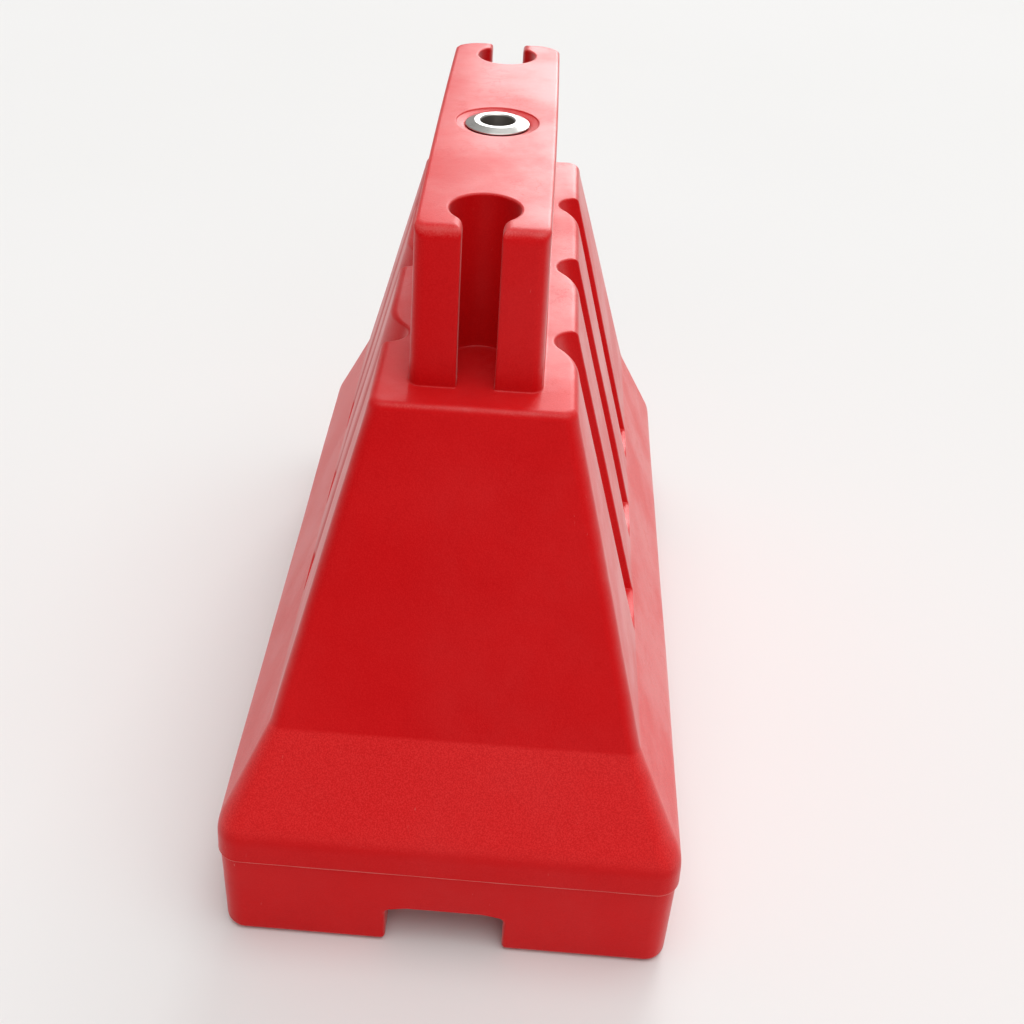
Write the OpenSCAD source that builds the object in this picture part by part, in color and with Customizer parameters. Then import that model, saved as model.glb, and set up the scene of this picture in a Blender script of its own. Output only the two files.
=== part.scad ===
// Water filled road barrier: two hollow plastic shells welded along a seam round the skirt,
// a steel filler collar in the top rail and a screw-in drain plug low in one long side.
// Millimetres, +Z up, long axis along X, origin at the centre of the underside.

/* [Overall] */
// Length over the skirt
barrier_length = 1000; // [820:10:1400]
// Width over the skirt
barrier_width = 516; // [430:2:700]
// Height from the ground to the top of the filler collar
barrier_height = 800; // [660:5:1100]
// Thickness of the plastic walls, measured level
wall = 5; // [4:0.5:7]

/* [Skirt] */
// Height of the welded seam between the two shells
seam_height = 120; // [112:1:130]
// How far the upper shell overhangs the base shell at the seam
seam_step = 3; // [1.5:0.5:5]
// Width of the rim that the shells are welded on
rim_width = 9; // [8:0.5:14]
// Height of the break where the skirt turns into the sloping shoulder
shoulder_height = 158; // [150:1:180]
// Inward draft of the upper skirt between the seam and the shoulder
skirt_draft = 1; // [0:0.5:4]
// Inward draft of the base shell between the seam and the ground
base_draft = 1.5; // [0.5:0.5:4]
// Radius of the skirt's upright corners
skirt_corner_r = 28; // [20:1:40]
// Rounding of the bottom edge
foot_round = 9; // [5:1:12]
// Rounding reach of the shoulder's lower edge
shoulder_round = 15; // [6:1:20]

/* [Shoulder and body] */
// Height at which the shoulder meets the tall body
body_foot_height = 276; // [230:1:300]
// How far the shoulder runs inwards on each long side
side_shoulder_run = 57; // [40:1:70]
// How far the shoulder runs inwards at each end
end_shoulder_run = 51; // [40:1:70]
// Radius of the body's upright corners at its foot
body_corner_r = 16; // [10:1:24]
// Length of the flat ledge at the top of the body
ledge_length = 680; // [660:5:720]
// Width of the flat ledge
ledge_width = 208; // [196:2:240]
// Rounding of the ledge's edge
ledge_round = 8; // [4:1:12]

/* [Rail] */
// Height of the top rail above the ledge
rail_height = 172; // [140:1:220]
// Length of the rail at its foot
rail_length = 602; // [590:2:640]
// Width of the rail at its foot
rail_width = 140; // [132:2:160]
// Inward draft of each rail face over its height
rail_draft = 2.5; // [0:0.5:5]
// Radius of the rail's upright corners
rail_corner_r = 13; // [11:1:16]
// Rounding of the rail's top edge
rail_round = 9; // [4:1:10]

/* [Keyhole slots] */
// Diameter of the round part of each end slot
slot_d = 71; // [60:1:85]
// Width of the neck that opens through the rail's end
slot_neck = 39; // [30:1:44]
// Distance from the slot's centre to the rail's end at its foot
slot_inset = 57; // [52:1:64]
// Radius of the rounded lips between the neck and the round part
slot_lip_r = 14; // [8:1:16]

/* [Side grooves] */
// Number of upright grooves in each long side
groove_count = 3; // [1:2:3]
// Distance between groove centres
groove_pitch = 186; // [150:2:200]
// Radius of a groove's round back
groove_r = 24; // [16:1:26]
// Radius of the long rounded lip on one side of each groove
groove_lip_r = 70; // [40:5:80]

/* [Base channel] */
// Width of the drainage channel under the base
channel_width = 134; // [100:2:170]
// Height of the drainage channel
channel_height = 57; // [40:1:64]
// Radius of the channel's upper corners
channel_corner_r = 12; // [6:1:16]

/* [Filler collar] */
// Clear bore of the steel filler collar
filler_bore_d = 38; // [30:1:46]
// Wall of the collar's threaded barrel
filler_barrel_wall = 4; // [3:0.5:5]
// Width of the collar's flange outside the barrel
filler_flange_reach = 13; // [10:0.5:14]
// Thickness of the collar's flange
filler_flange_t = 5; // [3:0.5:6]
// How far the flange stands above the rail's top
filler_proud = 2; // [0:0.5:3]
// Thickness of the gasket under the flange
filler_gasket_t = 2; // [1:0.5:3]
// Width of the recess floor left clear round the flange
filler_recess_gap = 10; // [4:0.5:11]
// Thickness of the backing washer inside the rail
filler_washer_t = 2.5; // [1.5:0.5:4]
// Thickness of the locknut inside the rail
filler_nut_t = 10; // [6:1:14]
// Width of the locknut's ring outside the barrel
filler_nut_reach = 11; // [8:0.5:13]

/* [Drain] */
// Distance from the skirt's end to the drain's axis
drain_from_end = 130; // [90:5:200]
// Height of the drain's axis
drain_height = 60; // [52:1:66]
// Diameter of the pocket that the drain sits in
drain_pocket_d = 78; // [74:1:90]
// Depth of the pocket
drain_pocket_depth = 22; // [22:1:28]
// Diameter of the plug's thread
drain_thread_d = 30; // [24:0.5:36]
// Wall of the drain bush's barrel
drain_barrel_wall = 5.5; // [4:0.5:7]
// Width of the drain bush's flange outside its barrel
drain_flange_reach = 9; // [6:0.5:11]
// Thickness of the drain bush's flange
drain_flange_t = 6; // [4:0.5:7]
// Thickness of the gasket behind the flange
drain_gasket_t = 2.5; // [1:0.5:3]
// Thickness of the washer behind the pocket
drain_washer_t = 2.5; // [1.5:0.5:4]
// Thickness of the locknut behind the pocket
drain_nut_t = 11; // [8:1:14]
// Thickness of the plug's seal
drain_seal_t = 2.5; // [1.5:0.5:3]
// Length of the plug's threaded shank
drain_shank_length = 24; // [18:1:30]

/* [Clearances] */
// Radial clearance of the barrels in the plastic
hole_clearance = 0.3; // [0.2:0.05:0.6]
// Radial running clearance between threads, modelled plain
thread_clearance = 0.05; // [0.02:0.01:0.09]
// Gap between the plug's seal and the face that it closes on
seat_gap = 0.1; // [0.05:0.05:0.3]

/* [Hidden] */

slab = 0.01;          // thickness of the slices that a hull is stretched over
reach = 1;            // how far a cutter runs past the face it cuts
corner_fn = 32;       // facets of a rounded corner in a hull
bend_steps = 4;       // slices used to round an edge
$fn = 96;

barrier_red = "#c4161c";
flash_red = "#e0555a";

// Half sizes of the outer shape: a station is [height, half length, half width, corner radius]
skirt = [seam_height, barrier_length / 2, barrier_width / 2, skirt_corner_r];
shoulder = [shoulder_height, skirt[1] - skirt_draft, skirt[2] - skirt_draft, skirt_corner_r];
body_foot = [body_foot_height, shoulder[1] - end_shoulder_run, shoulder[2] - side_shoulder_run,
    body_corner_r];
rail_top_height = barrier_height - filler_proud;
ledge_height = rail_top_height - rail_height;
ledge = [ledge_height, ledge_length / 2, ledge_width / 2, body_corner_r];
rail_foot = [ledge_height, rail_length / 2, rail_width / 2, rail_corner_r];
rail_top = [rail_top_height, rail_foot[1] - rail_draft, rail_foot[2] - rail_draft, rail_corner_r];
base_top = [seam_height, skirt[1] - seam_step, skirt[2] - seam_step, skirt_corner_r - seam_step];
base_foot = [0, base_top[1] - base_draft, base_top[2] - base_draft, base_top[3]];

function mix(a, b, t) = a + (b - a) * t;
// The point on the line between two stations at a given height
function at_height(a, b, z) = mix(a, b, (z - a[0]) / (b[0] - a[0]));
// A station drawn inwards by the same amount on all sides
function inset(s, by) = [s[0], s[1] - by, s[2] - by, max(s[3] - by, 1)];
// Stations along a curve that rounds the corner b between a and c
function bend(a, b, c) = [for (i = [0:bend_steps])
    let (t = i / bend_steps) (1 - t) * (1 - t) * a + 2 * t * (1 - t) * b + t * t * c];

// Solid stretched over a list of stations, lowest first
module block(stations) {
    last = len(stations) - 1;
    hull() for (i = [0:last], sx = [-1, 1], sy = [-1, 1]) {
        s = stations[i];
        translate([sx * (s[1] - s[3]), sy * (s[2] - s[3]), s[0] - (i == last ? slab : 0)])
            cylinder(h = slab, r = s[3], $fn = corner_fn);
    }
}

// Cutter for everything between two heights
module height_band(low, high) {
    translate([-barrier_length, -barrier_width, low])
        cube([2 * barrier_length, 2 * barrier_width, high - low]);
}

// ---- keyhole slots ----

slot_x = rail_foot[1] - slot_inset;
// Distance from the slot's centre to the centres of the lip arcs, along the rail
slot_lip_x = sqrt(pow(slot_d / 2 + slot_lip_r, 2) - pow(slot_neck / 2 + slot_lip_r, 2));

// Plan of a keyhole opening towards +X, wider all round by grow
module keyhole_plan(grow) {
    lip_y = slot_neck / 2 + slot_lip_r;
    circle(r = slot_d / 2 + grow);
    difference() {
        polygon([[0, 0], [slot_lip_x, -lip_y], [slot_lip_x, lip_y]]);
        for (side = [-1, 1])
            translate([slot_lip_x, side * lip_y]) circle(r = slot_lip_r - grow);
    }
    translate([slot_lip_x - slab, -slot_neck / 2 - grow])
        square([slot_inset + 2 * wall, slot_neck + 2 * grow]);
}

// Both slots, from the given floor height up through the rail's top
module keyhole_slots(grow, floor_z) {
    for (turn = [0, 180])
        rotate([0, 0, turn]) translate([slot_x, 0, floor_z])
            linear_extrude(rail_top_height + reach - floor_z) keyhole_plan(grow);
}

// ---- side grooves ----

panel_lean = atan((body_foot[2] - ledge[2]) / (ledge_height - body_foot_height));
panel_slant = (ledge_height - body_foot_height) / cos(panel_lean);
groove_lip_x = sqrt(pow(groove_r + groove_lip_r, 2) - pow(groove_lip_r, 2));

// Plan of a groove square to the panel: X along the barrier, Y out of the panel
module groove_plan(grow) {
    circle(r = groove_r + grow);
    difference() {
        polygon([[0, 0], [-groove_lip_x, -groove_lip_r], [-groove_lip_x, groove_r],
            [groove_r + grow, groove_r], [groove_r + grow, 0]]);
        translate([-groove_lip_x, -groove_lip_r]) circle(r = groove_lip_r - grow);
    }
}

// The grooves of both sides; the second side is the first turned half round
module side_grooves(grow, low, high) {
    first = -(groove_count - 1) / 2 * groove_pitch;
    intersection() {
        for (turn = [0, 180], i = [0:groove_count - 1])
            rotate([0, 0, turn])
                translate([first + i * groove_pitch, -body_foot[2], body_foot_height])
                    rotate([-panel_lean, 0, 0])
                        translate([0, 0, -panel_slant / 4])
                            linear_extrude(panel_slant * 1.5) mirror([0, 1]) groove_plan(grow);
        height_band(low, high);
    }
}

// ---- filler ----

filler_barrel_r = filler_bore_d / 2 + filler_barrel_wall;
filler_flange_r = filler_barrel_r + filler_flange_reach;
filler_flat_r = mix(filler_bore_d / 2, filler_flange_r, 0.42);
filler_recess_r = filler_flange_r + filler_recess_gap;
filler_seat_z = barrier_height - filler_flange_t - filler_gasket_t;
filler_inner_z = filler_seat_z - wall;
filler_nut_z = filler_inner_z - filler_washer_t - filler_nut_t;
filler_end_z = filler_nut_z - 5;

// ---- drain: positions are distances inwards from the base shell's side face ----

drain_x = skirt[1] - drain_from_end;
drain_barrel_r = drain_thread_d / 2 + drain_barrel_wall;
drain_flange_r = drain_barrel_r + drain_flange_reach;
drain_gasket_in = drain_pocket_depth - drain_gasket_t;
drain_flange_in = drain_gasket_in - drain_flange_t;
drain_seal_in = drain_flange_in - seat_gap - drain_seal_t;
drain_washer_in = drain_pocket_depth + wall;
drain_nut_in = drain_washer_in + drain_washer_t;
drain_barrel_in = drain_nut_in + drain_nut_t + 4;

// Moves a part drawn along +Z to the drain: +Z points into the tank from the side face
module at_drain(depth) {
    translate([drain_x, -base_top[2] + depth, drain_height]) rotate([-90, 0, 0]) children();
}

// Flat ring
module ring(outer_r, inner_r, height) {
    difference() {
        cylinder(h = height, r = outer_r);
        translate([0, 0, -reach]) cylinder(h = height + 2 * reach, r = inner_r);
    }
}

// ---- shells ----

module upper_outside() {
    block(concat([skirt], bend(at_height(skirt, shoulder, shoulder_height - shoulder_round), shoulder,
        at_height(shoulder, body_foot, shoulder_height + shoulder_round)), [body_foot]));
    block(concat([body_foot], bend(at_height(body_foot, ledge, ledge_height - ledge_round), ledge,
        inset(ledge, ledge_round))));
    block(concat([rail_foot + [-wall / 2, 0, 0, 0]],
        bend(at_height(rail_foot, rail_top, rail_top_height - rail_round), rail_top,
        inset(rail_top, rail_round))));
}

module upper_inside() {
    rim_top = seam_height + rim_width;
    under_ledge = at_height(body_foot, ledge, ledge_height - wall);
    under_top = at_height(rail_foot, rail_top, rail_top_height - wall);
    block([inset(skirt, rim_width) - [reach, 0, 0, 0],
        inset(at_height(skirt, shoulder, rim_top), wall), inset(shoulder, wall),
        inset(body_foot, wall)]);
    block([inset(body_foot, wall), inset(under_ledge, wall)]);
    block([inset(rail_foot, wall) - [2 * wall, 0, 0, 0], inset(under_top, wall)]);
}

module upper_shell() {
    color(barrier_red) difference() {
        upper_outside();
        difference() {
            upper_inside();
            keyhole_slots(wall, ledge_height - wall);
            side_grooves(wall, body_foot_height - wall, ledge_height);
            translate([0, 0, filler_inner_z])
                cylinder(h = rail_top_height - filler_inner_z, r = filler_recess_r + wall);
        }
        keyhole_slots(0, ledge_height);
        side_grooves(0, body_foot_height, ledge_height + reach);
        translate([0, 0, filler_seat_z])
            cylinder(h = rail_top_height - filler_seat_z + reach, r = filler_recess_r);
        translate([0, 0, filler_inner_z - reach])
            cylinder(h = wall + 2 * reach, r = filler_barrel_r + hole_clearance);
    }
}

// End view of the drainage channel, Y across and Z up, wider all round by grow
module channel_outline(grow) {
    half = channel_width / 2 + grow;
    top = channel_height + grow;
    r = channel_corner_r + grow;
    translate([-half, -reach]) square([2 * half, top - r + reach]);
    translate([-half + r, -reach]) square([2 * (half - r), top + reach]);
    for (side = [-1, 1]) translate([side * (half - r), top - r]) circle(r = r);
}

module base_channel(grow) {
    translate([-barrier_length, 0, 0]) rotate([90, 0, 90])
        linear_extrude(2 * barrier_length) channel_outline(grow);
}

module base_shell() {
    inner_top = inset(base_top, wall) + [reach, 0, 0, 0];
    inner_foot = inset(at_height(base_foot, base_top, wall), wall);
    color(barrier_red) difference() {
        block(concat(bend(inset(base_foot, foot_round), base_foot,
            at_height(base_foot, base_top, foot_round)), [base_top]));
        difference() {
            block(concat(bend(inset(inner_foot, foot_round), inner_foot,
                at_height(inner_foot, inner_top, wall + foot_round)), [inner_top]));
            base_channel(wall);
            at_drain(0) cylinder(h = drain_pocket_depth + wall, r = drain_pocket_d / 2 + wall);
        }
        base_channel(0);
        at_drain(-reach) cylinder(h = drain_pocket_depth + reach, r = drain_pocket_d / 2);
        at_drain(0) cylinder(h = drain_washer_in + reach, r = drain_barrel_r + hole_clearance);
    }
}

// Bead of plastic laid in the corner under the upper shell's overhang
module seam_weld_bead() {
    bead_height = 2;
    bead_reach = seam_step - 0.6;
    low = base_top - [bead_height, 0, 0, 0];
    color(flash_red) difference() {
        block([inset(low, -bead_reach + 0.8), inset(base_top, -bead_reach)]);
        block([inset(low, -slab) - [reach, 0, 0, 0], inset(base_top, -slab) + [reach, 0, 0, 0]]);
    }
}

// ---- filler collar and its fixings ----

module filler_collar() {
    bore_r = filler_bore_d / 2;
    under = barrier_height - filler_flange_t;
    edge = 1.2;
    color("silver") rotate_extrude() polygon([[bore_r, filler_end_z], [filler_barrel_r, filler_end_z],
        [filler_barrel_r, under], [filler_flange_r, under], [filler_flange_r, under + edge],
        [filler_flat_r, barrier_height], [bore_r + edge, barrier_height],
        [bore_r, barrier_height - edge]]);
}

module filler_gasket() {
    color("#202020") translate([0, 0, filler_seat_z])
        ring(filler_flange_r - 1, filler_barrel_r + hole_clearance, filler_gasket_t);
}

module filler_backing_washer() {
    color("gainsboro") translate([0, 0, filler_inner_z - filler_washer_t])
        ring(filler_barrel_r + filler_nut_reach, filler_barrel_r + hole_clearance, filler_washer_t);
}

module filler_locknut() {
    notch = 8;
    outer_r = filler_barrel_r + filler_nut_reach;
    color("silver") translate([0, 0, filler_nut_z]) difference() {
        ring(outer_r, filler_barrel_r + thread_clearance, filler_nut_t);
        for (turn = [0:60:300])
            rotate([0, 0, turn]) translate([outer_r - notch / 2, -notch / 2, -reach])
                cube([notch, notch, filler_nut_t + 2 * reach]);
    }
}

// ---- drain bush, plug and their seals ----

module drain_bush() {
    color("#303236") at_drain(drain_flange_in) difference() {
        union() {
            cylinder(h = drain_flange_t, r = drain_flange_r);
            cylinder(h = drain_barrel_in - drain_flange_in, r = drain_barrel_r);
        }
        translate([0, 0, -reach])
            cylinder(h = drain_barrel_in - drain_flange_in + 2 * reach, r = drain_thread_d / 2);
    }
}

module drain_bush_gasket() {
    color("#181818") at_drain(drain_gasket_in)
        ring(drain_flange_r - 1, drain_barrel_r + hole_clearance, drain_gasket_t);
}

module drain_backing_washer() {
    color("#404246") at_drain(drain_washer_in)
        ring(drain_flange_r, drain_barrel_r + hole_clearance, drain_washer_t);
}

module drain_locknut() {
    color("#303236") at_drain(drain_nut_in) difference() {
        cylinder(h = drain_nut_t, r = drain_flange_r + 2, $fn = 6);
        translate([0, 0, -reach])
            cylinder(h = drain_nut_t + 2 * reach, r = drain_barrel_r + thread_clearance);
    }
}

// Plug with a hexagon to turn it by; the thread is drawn as a plain shank
module drain_plug() {
    head_r = drain_barrel_r + 3;
    head_t = 3.8;
    hex_t = drain_seal_in - head_t - 0.8;
    shank_r = drain_thread_d / 2 - thread_clearance;
    lead = 2;
    color("#26282b") {
        at_drain(drain_seal_in - head_t - hex_t) cylinder(h = hex_t, r = head_r * 0.62, $fn = 6);
        at_drain(drain_seal_in - head_t) cylinder(h = head_t, r = head_r);
        at_drain(drain_seal_in) rotate_extrude() polygon([[0, 0], [shank_r, 0],
            [shank_r, drain_shank_length - lead], [shank_r - lead, drain_shank_length],
            [0, drain_shank_length]]);
    }
}

module drain_plug_seal() {
    color("#101010") at_drain(drain_seal_in)
        ring(drain_barrel_r + 1, drain_thread_d / 2 + hole_clearance, drain_seal_t);
}

upper_shell();
base_shell();
seam_weld_bead();
filler_collar();
filler_gasket();
filler_backing_washer();
filler_locknut();
drain_bush();
drain_bush_gasket();
drain_backing_washer();
drain_locknut();
drain_plug();
drain_plug_seal();
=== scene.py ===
"""Water filled road barrier: its finished surfaces and materials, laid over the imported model.

Shapes are worked out in millimetres as whole numpy arrays and put into meshes in metres. A loop of
points runs anticlockwise seen from above, and every loop has half-turn symmetry about the upright axis.
"""

import math

import bpy
import numpy as np
from mathutils import Matrix, Vector
from mathutils.geometry import delaunay_2d_cdt


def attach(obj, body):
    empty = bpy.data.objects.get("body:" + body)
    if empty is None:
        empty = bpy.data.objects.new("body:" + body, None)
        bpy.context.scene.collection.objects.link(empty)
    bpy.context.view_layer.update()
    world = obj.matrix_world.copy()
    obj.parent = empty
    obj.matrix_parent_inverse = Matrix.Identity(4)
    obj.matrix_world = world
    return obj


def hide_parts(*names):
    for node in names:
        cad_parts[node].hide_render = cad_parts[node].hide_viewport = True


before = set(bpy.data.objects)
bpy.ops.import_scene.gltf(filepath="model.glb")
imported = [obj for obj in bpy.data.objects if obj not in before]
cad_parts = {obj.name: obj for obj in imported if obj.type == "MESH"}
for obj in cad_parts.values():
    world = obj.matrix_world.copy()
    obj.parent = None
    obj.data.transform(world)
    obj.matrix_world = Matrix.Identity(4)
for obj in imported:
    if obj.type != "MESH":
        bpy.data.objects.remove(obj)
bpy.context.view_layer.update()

MM = 0.001

# Stations of the outer shape: height, half length, half width, corner radius
SKIRT = np.array([120, 500, 258, 28.0])
SHOULDER = np.array([158, 499, 257, 28.0])
BODY_FOOT = np.array([276, 448, 200, 16.0])
LEDGE = np.array([626, 340, 104, 16.0])
BASE_TOP = np.array([120, 497, 255, 25.0])
BASE_FOOT = np.array([0, 495.5, 253.5, 25.0])
WALL = 5.0
RIM = 9.0

# Rail: height, half length, half width at its ends, corner radius; its sides bow outwards between the ends
RAIL_FOOT = np.array([626, 301, 68.6, 13.0])
RAIL_TOP = np.array([798, 298.5, 66.1, 13.0])
RAIL_BOW = 1.4
SLOT_X = 244.0
SLOT = dict(neck=19.5, round_r=35.5, lip=14.0, edge=3.0)

# How far the rail's top edge is rounded along its side, its end, a keyhole's neck and a keyhole's round part
RIM_SIDE, RIM_END, RIM_NECK, RIM_ROUND = 5.0, 15.0, 9.0, 3.2
LEDGE_ROLL = 16.0

GROOVES = (-186.0, 0.0, 186.0)
LEAN = math.atan((BODY_FOOT[2] - LEDGE[2]) / (LEDGE[0] - BODY_FOOT[0]))
SLANT = 1 / math.cos(LEAN)

CHANNEL = dict(half=67.0, high=57.0, corner=12.0)
FILLER = dict(bore=19.0, barrel=23.0, flange=36.0, recess=46.0, floor=793.0, hole=23.3, foot=770.5, top=800.0)
DRAIN = dict(x=370.0, z=60.0, pocket=39.0, depth=22.0, hole=20.8, bush=29.5, barrel=20.5, bore=15.0)


# ---- loops of points: columns are x, y and how far the rim above is rounded there ----


def line(start, end, count, rim=(0, 0)):
    """Points start + (end - start) * t, with t even from 0 up to, not including, 1."""
    t = np.linspace(0, 1, count, endpoint=False)[:, None]
    ends = np.array([[*start, rim[0]], [*end, rim[1]]], float)
    return ends[0] + (ends[1] - ends[0]) * t


def arc(centre, radius, start, stop, count, rim=(0, 0)):
    """Points centre + radius * (cos a, sin a), a even in degrees from start up to, not including, stop."""
    t = np.linspace(0, 1, count, endpoint=False)
    a = np.radians(start + (stop - start) * t)
    return np.column_stack([centre[0] + radius * np.cos(a), centre[1] + radius * np.sin(a),
                            rim[0] + (rim[1] - rim[0]) * t])


def both_halves(*parts):
    """The parts in order, then the same again turned half round."""
    half = np.vstack(parts)
    return np.vstack([half, half * (-1, -1, 1)])


def ring_at(radius, count=96):
    """Circle about the origin."""
    return arc((0, 0), radius, 0, 360, count)


def groove_profile(panel, back, lip, edge):
    """Section of a groove as (along, depth, rim): a long lip arc, the round back, then a tight far edge.

    Each arc is tangent to the next: the lip's and edge's centres lie at back + their own radius from the
    groove's centre, and at panel + their own radius below the panel.
    """
    lip_at = np.array([-math.sqrt((back + lip) ** 2 - (panel + lip) ** 2), panel + lip])
    edge_at = np.array([math.sqrt((back + edge) ** 2 - (panel + edge) ** 2), panel + edge])
    lip_turn = math.degrees(math.atan2(-lip_at[1], -lip_at[0]))
    back_from = math.degrees(math.atan2(lip_at[1], lip_at[0]))
    back_to = math.degrees(math.atan2(edge_at[1], edge_at[0]))
    section = np.vstack([
        arc(lip_at, lip, -90, lip_turn, 12, (0, 1)),
        arc((0, 0), back, back_from, back_to, 16, (1, 1)),
        arc(edge_at, edge, 180 + back_to, 270, 6, (1, 0))])
    return section, edge_at[0]


def body_outline(station, inset=0.0, back=24.0, lip=70.0, edge=3.0, opened=1.0):
    """Plan of the skirt or body at one station, with its grooves opened from 0 to 1.

    A rounded rectangle whose long sides dip inwards along the groove section wherever a groove runs.
    """
    a, b, r = station[1] - inset, station[2] - inset, max(station[3] - inset, 1.0)
    section, far = groove_profile(inset / SLANT, back, lip, edge)
    depth = opened * (section[:, 1] * SLANT - inset)
    side, x = [], r - a
    for centre, steps in zip(GROOVES, (12, 8, 8)):
        side.append(line((x, -b), (centre + section[0, 0], -b), steps))
        side.append(np.column_stack([centre + section[:, 0], depth - b, section[:, 2]]))
        x = centre + far
    return both_halves(
        *side, line((x, -b), (a - r, -b), 12), arc((a - r, r - b), r, -90, 0, 10),
        line((a, r - b), (a, b - r), 26), arc((a - r, b - r), r, 0, 90, 10))


def rail_outline(a, b, r, neck, round_r, lip, edge):
    """Plan of the rail: a long rectangle with bowed sides and a keyhole let into each end."""
    lip_y = neck + lip
    lip_x = SLOT_X + math.sqrt((round_r + lip) ** 2 - lip_y ** 2)
    turn = math.degrees(math.atan2(lip_y, SLOT_X - lip_x))
    side = line((r - a, -b), (a - r, -b), 44, (RIM_SIDE, RIM_SIDE))
    side[:, 1] -= RAIL_BOW * (1 - (side[:, 0] / (a - r)) ** 2)
    low = np.vstack([
        arc((a - r, r - b), r, -90, 0, 9, (RIM_SIDE, RIM_END)),
        line((a, r - b), (a, -neck - edge), 10, (RIM_END, RIM_END)),
        arc((a - edge, -neck - edge), edge, 0, 90, 5, (RIM_END, RIM_NECK)),
        line((a - edge, -neck), (lip_x, -neck), 4, (RIM_NECK, RIM_NECK)),
        arc((lip_x, -lip_y), lip, 90, turn, 9, (RIM_NECK, RIM_ROUND)),
        arc((SLOT_X, 0), round_r, turn - 180, -180, 22, (RIM_ROUND, RIM_ROUND))])
    deepest = np.array([[SLOT_X - round_r, 0, RIM_ROUND]])
    return both_halves(side, low, deepest, low[:0:-1] * (1, -1, 1))


def rail_at(station, grow=0.0):
    """Plan of the rail at one station, with every face moved outwards by grow."""
    a, b, r = station[1:] + grow
    return rail_outline(a, b, r, SLOT["neck"] - grow, SLOT["round_r"] - grow, SLOT["lip"] + grow,
                        max(SLOT["edge"] + grow, 1.0))


def far_eased(loop, a, b, radius):
    """The loop with its two +X corners drawn back on to a circle of the radius, wherever it runs outside.

    The rounding of the edge above grows there too, by 1.2 times how far the point moves, up to 8 mm.
    """
    out = loop.copy()
    centre = np.array([a - radius, b - radius])
    away = np.column_stack([loop[:, 0], np.abs(loop[:, 1])]) - centre
    length = np.maximum(np.linalg.norm(away, axis=1), 1e-9)
    moved = (away.min(1) > 0) & (length > radius)
    eased = centre + away * (radius / length)[:, None]
    eased[:, 1] *= np.sign(loop[:, 1])
    out[moved, :2] = eased[moved]
    out[moved, 2] += np.minimum((length[moved] - radius) * 1.2, 8)
    return out


def bend(low, corner, high, t):
    """Quadratic curve: (1 - t)^2 low + 2 t (1 - t) corner + t^2 high."""
    t = np.asarray(t, float)[:, None]
    return (1 - t) ** 2 * low + 2 * t * (1 - t) * corner + t ** 2 * high


def level(low, high, z):
    """Stations at heights z on the straight line between two stations."""
    t = (np.atleast_1d(z)[:, None] - low[0]) / (high[0] - low[0])
    return low + (high - low) * t


def smooth(t):
    """0 below 0, 1 above 1, and 3 t^2 - 2 t^3 between."""
    t = np.clip(t, 0, 1)
    return t * t * (3 - 2 * t)


def relaxed(loop, z, most):
    """The loop drawn in by up to most along its inward normals, on a slow wave over x, y and z.

    The wave is most * (0.5 + 0.5 * sin * sin), so a moulded face is never quite flat.
    """
    ahead = np.roll(loop[:, :2], -1, 0) - np.roll(loop[:, :2], 1, 0)
    inwards = np.column_stack([-ahead[:, 1], ahead[:, 0]]) / np.linalg.norm(ahead, axis=1)[:, None]
    x, y = loop[:, 0], loop[:, 1]
    wave = np.sin(x / 71 + z / 53 + 0.8) * np.sin(y / 47 - z / 89 + x / 211)
    out = loop.copy()
    out[:, :2] += inwards * (most * (0.5 + 0.5 * wave))[:, None]
    return out


# ---- skins: loops joined by strips of faces ----


def enclosed(points, loop):
    """True for each point that a line to the right crosses the loop an odd number of times from."""
    ahead = np.roll(loop, -1, 0)
    x, y = points[:, :1], points[:, 1:]
    spans = (loop[:, 1] > y) != (ahead[:, 1] > y)
    rise = np.where(ahead[:, 1] == loop[:, 1], 1, ahead[:, 1] - loop[:, 1])
    crossing = loop[:, 0] + (y - loop[:, 1]) * (ahead[:, 0] - loop[:, 0]) / rise
    return (spans & (crossing > x)).sum(1) % 2 == 1


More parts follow.
